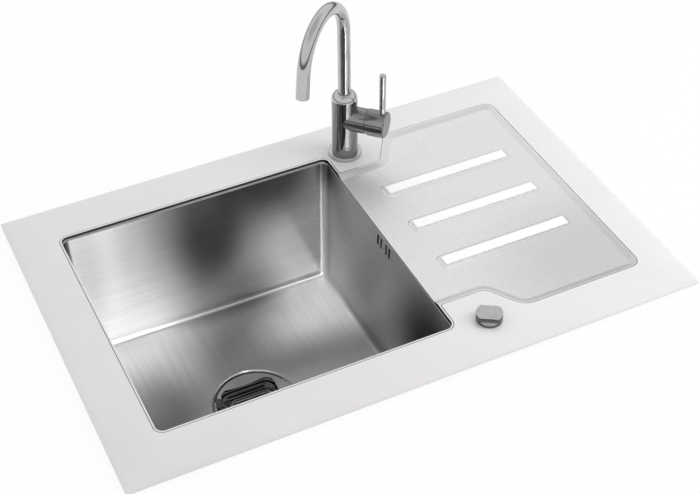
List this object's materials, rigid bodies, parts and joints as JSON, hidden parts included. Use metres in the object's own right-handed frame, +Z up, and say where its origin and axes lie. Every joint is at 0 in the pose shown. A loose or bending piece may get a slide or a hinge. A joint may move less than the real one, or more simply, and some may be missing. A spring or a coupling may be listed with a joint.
{
  "type": "kitchen sink with drainer and tap",
  "caption": "Inset kitchen sink: white glass top, pressed steel bowl and ribbed drainer, knob-worked pop-up waste, and a swan-neck single-lever mixer tap.",
  "frame": {"origin": "plan centre of the glass panel, on the worktop surface that the rim rests on", "axes": "+X along the long side towards the drainer, +Y to the back, where the tap stands, +Z up"},
  "size_m": [0.78, 0.51, 0.5888],
  "materials": {
    "white_glass": "toughened glass, enamelled white on the back, polished",
    "strip_glass": "white glass, polished",
    "adhesive": "cured elastic adhesive, matt",
    "stainless_steel": "satin brushed stainless steel",
    "polished_steel": "polished stainless steel",
    "zinc_steel": "zinc-plated steel",
    "foam": "closed-cell foam strip, matt",
    "bitumen": "sound-deadening sheet, matt",
    "black_rubber": "moulded rubber, matt",
    "grey_plastic": "moulded plastic, matt",
    "white_plastic": "moulded plastic, satin",
    "satin_chrome": "satin chrome plate",
    "chrome_plate": "bright chrome plate",
    "brass": "turned brass, satin"
  },
  "bodies": {
    "sink": {"glass_top": "white_glass", "glass_bond": "adhesive", "top_sheet": "stainless_steel", "rib_strips": "strip_glass", "bowl": "stainless_steel", "rim_gasket": "foam", "clamp_brackets": "zinc_steel", "clamp_claws": "zinc_steel", "clamp_screws": "zinc_steel", "sound_pads": "bitumen", "overflow_gasket": "black_rubber", "overflow_housing": "grey_plastic", "overflow_screw": "stainless_steel", "waste_flange_seal": "black_rubber", "waste_flange": "polished_steel", "waste_body_seal": "black_rubber", "waste_screws": "stainless_steel", "waste_body": "grey_plastic", "stem_guide": "grey_plastic", "rocker_axle": "stainless_steel", "waste_cable_gland": "grey_plastic", "knob_washer": "black_rubber", "knob_bush": "brass", "knob_seal": "black_rubber", "knob_nut": "brass", "drive_housing": "grey_plastic", "knob_cable_gland": "grey_plastic", "tap_base_seal": "black_rubber", "tap_base_ring": "chrome_plate", "tap_body": "chrome_plate", "tap_studs": "brass", "tap_rubber_washer": "black_rubber", "tap_fixing_plate": "zinc_steel", "tap_nuts": "brass", "spout_collar": "chrome_plate", "spout_bushing": "white_plastic", "cartridge_body": "white_plastic", "cartridge_nut": "brass", "dome_cover": "chrome_plate"},
    "spout": {"spout_tube": "chrome_plate", "spout_sleeve": "brass", "spout_o_rings": "black_rubber", "aerator_housing": "chrome_plate", "aerator_insert": "grey_plastic"},
    "rotor": {"cartridge_rotor": "white_plastic", "cross_pin": "stainless_steel"},
    "lever": {"mixer_spindle": "brass", "lever_cap": "chrome_plate", "lever_pin": "chrome_plate", "lever_grub_screw": "stainless_steel"},
    "knob": {"turn_knob": "satin_chrome", "knob_spindle": "brass", "cable_crank": "grey_plastic"},
    "rocker": {"lift_rocker": "grey_plastic"},
    "plug": {"strainer_basket": "polished_steel", "strainer_cover": "polished_steel", "plug_stem": "grey_plastic", "plug_seal": "black_rubber", "plug_seal_nut": "grey_plastic"}
  },
  "joints": [
    {"name": "spout_swivel", "type": "hinge", "parent": "sink", "child": "spout", "pos_m": [0.096, 0.188, 0.1], "axis": [0, 0, 1], "continuous": true},
    {"name": "mixer_turn", "type": "hinge", "parent": "sink", "child": "rotor", "pos_m": [0.1204, 0.1636, 0.073], "axis": [0.7071, -0.7071, 0], "range_deg": [-50, 50]},
    {"name": "mixer_tilt", "type": "hinge", "parent": "rotor", "child": "lever", "pos_m": [0.1204, 0.1636, 0.073], "axis": [0.7071, 0.7071, 0], "range_deg": [0, 17]},
    {"name": "knob_turn", "type": "hinge", "parent": "sink", "child": "knob", "pos_m": [0.111, -0.196, 0.01], "axis": [0, 0, 1], "range_deg": [0, 90]},
    {"name": "lift_rocker_turn", "type": "hinge", "parent": "sink", "child": "rocker", "pos_m": [-0.11, -0.012, -0.2598], "axis": [0, 1, 0], "range_deg": [0, 19.2]},
    {"name": "plug_lift", "type": "slide", "parent": "sink", "child": "plug", "axis": [0, 0, 1], "range_m": [0, 0.01]}
  ],
  "couplings": [
    {"joint": "knob_turn", "follows": "plug_lift", "rad_per_m": 157.07},
    {"joint": "lift_rocker_turn", "follows": "plug_lift", "rad_per_m": 33.489}
  ]
}
